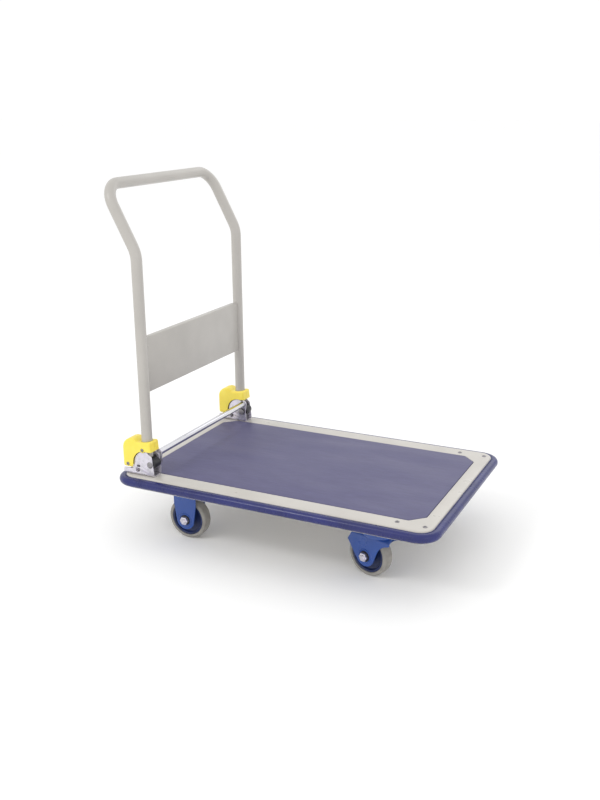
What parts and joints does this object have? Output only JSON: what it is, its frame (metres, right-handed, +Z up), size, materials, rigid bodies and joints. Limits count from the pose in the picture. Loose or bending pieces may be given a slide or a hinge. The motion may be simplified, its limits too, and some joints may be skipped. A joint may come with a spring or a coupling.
{
  "type": "folding platform cart",
  "caption": "Flat-bed hand cart with a non-slip deck, rigid and swivel casters, and a push handle that folds down over the deck.",
  "frame": {"origin": "on the floor, at the middle of the cart's length and width", "axes": "+Z up, +X towards the front end (the handle is at -X), +Y to the pusher's left"},
  "size_m": [0.8056, 0.531, 0.8426],
  "materials": {
    "deck_enamel": "semi-gloss baked enamel on pressed steel",
    "handle_enamel": "semi-gloss powder coat on steel tube and sheet",
    "mat_vinyl": "matt embossed non-slip vinyl",
    "bumper_vinyl": "satin soft vinyl extrusion",
    "zinc_plate": "bright zinc plating",
    "bright_steel": "polished plated steel bar",
    "caster_enamel": "gloss blue enamel on pressed steel",
    "hub_plastic": "moulded nylon, dark blue",
    "tyre_rubber": "grey non-marking rubber",
    "cover_plastic": "moulded yellow polypropylene",
    "spring_steel": "oiled spring steel"
  },
  "bodies": {
    "platform": {"deck_pan": "deck_enamel", "deck_mat": "mat_vinyl", "edge_bumper": "bumper_vinyl", "channel_front": "deck_enamel", "channel_rear": "deck_enamel", "corner_screw_right_1": "zinc_plate", "bracket_bolt_right_1": "zinc_plate", "corner_screw_right_2": "zinc_plate", "bracket_bolt_right_2": "zinc_plate", "hinge_bracket_right": "zinc_plate", "hinge_pin_right": "zinc_plate", "rigid_fork_right": "caster_enamel", "swivel_plate_right": "caster_enamel", "kingpin_right": "zinc_plate", "axle_sleeve_rear_right": "zinc_plate", "axle_bolt_rear_right": "zinc_plate", "axle_nut_rear_right": "zinc_plate", "corner_screw_left_1": "zinc_plate", "bracket_bolt_left_1": "zinc_plate", "corner_screw_left_2": "zinc_plate", "bracket_bolt_left_2": "zinc_plate", "hinge_bracket_left": "zinc_plate", "hinge_pin_left": "zinc_plate", "rigid_fork_left": "caster_enamel", "swivel_plate_left": "caster_enamel", "kingpin_left": "zinc_plate", "axle_sleeve_rear_left": "zinc_plate", "axle_bolt_rear_left": "zinc_plate", "axle_nut_rear_left": "zinc_plate"},
    "handle": {"handle_tube": "handle_enamel", "handle_panel": "handle_enamel", "handle_foot_right": "zinc_plate", "hinge_cover_right": "cover_plastic", "cover_screw_right_high": "zinc_plate", "cover_screw_right_low": "zinc_plate", "handle_foot_left": "zinc_plate", "hinge_cover_left": "cover_plastic", "cover_screw_left_high": "zinc_plate", "cover_screw_left_low": "zinc_plate"},
    "release": {"release_bar": "bright_steel", "release_lever_right": "zinc_plate", "latch_spring_right": "spring_steel", "release_lever_left": "zinc_plate", "latch_spring_left": "spring_steel"},
    "swivel_right": {"swivel_fork_right": "caster_enamel", "axle_sleeve_front_right": "zinc_plate", "axle_bolt_front_right": "zinc_plate", "axle_nut_front_right": "zinc_plate"},
    "wheel_front_right": {"wheel_tyre_front_right": "tyre_rubber", "wheel_hub_front_right": "hub_plastic"},
    "wheel_rear_right": {"wheel_tyre_rear_right": "tyre_rubber", "wheel_hub_rear_right": "hub_plastic"},
    "swivel_left": {"swivel_fork_left": "caster_enamel", "axle_sleeve_front_left": "zinc_plate", "axle_bolt_front_left": "zinc_plate", "axle_nut_front_left": "zinc_plate"},
    "wheel_front_left": {"wheel_tyre_front_left": "tyre_rubber", "wheel_hub_front_left": "hub_plastic"},
    "wheel_rear_left": {"wheel_tyre_rear_left": "tyre_rubber", "wheel_hub_rear_left": "hub_plastic"}
  },
  "joints": [
    {"name": "handle_fold", "type": "hinge", "parent": "platform", "child": "handle", "pos_m": [-0.29885, 0, 0.1957], "axis": [0, 1, 0], "range_deg": [0, 90]},
    {"name": "foot_release", "type": "hinge", "parent": "platform", "child": "release", "pos_m": [-0.29885, 0, 0.1957], "axis": [0, 1, 0], "range_deg": [0, 20], "stiffness_Nm_per_rad": 1.5, "springref_deg": -20.05},
    {"name": "caster_swivel_right", "type": "hinge", "parent": "platform", "child": "swivel_right", "pos_m": [0.24985, -0.1685, 0.115], "axis": [0, 0, 1], "continuous": true},
    {"name": "wheel_spin_front_right", "type": "hinge", "parent": "swivel_right", "child": "wheel_front_right", "pos_m": [0.2257, -0.16203, 0.05], "axis": [0.2588, 0.9659, 0], "continuous": true},
    {"name": "wheel_spin_rear_right", "type": "hinge", "parent": "platform", "child": "wheel_rear_right", "pos_m": [-0.23815, -0.1685, 0.05], "axis": [0, 1, 0], "continuous": true},
    {"name": "caster_swivel_left", "type": "hinge", "parent": "platform", "child": "swivel_left", "pos_m": [0.24985, 0.1685, 0.115], "axis": [0, 0, 1], "continuous": true},
    {"name": "wheel_spin_front_left", "type": "hinge", "parent": "swivel_left", "child": "wheel_front_left", "pos_m": [0.2257, 0.17497, 0.05], "axis": [0.2588, 0.9659, 0], "continuous": true},
    {"name": "wheel_spin_rear_left", "type": "hinge", "parent": "platform", "child": "wheel_rear_left", "pos_m": [-0.23815, 0.1685, 0.05], "axis": [0, 1, 0], "continuous": true}
  ]
}
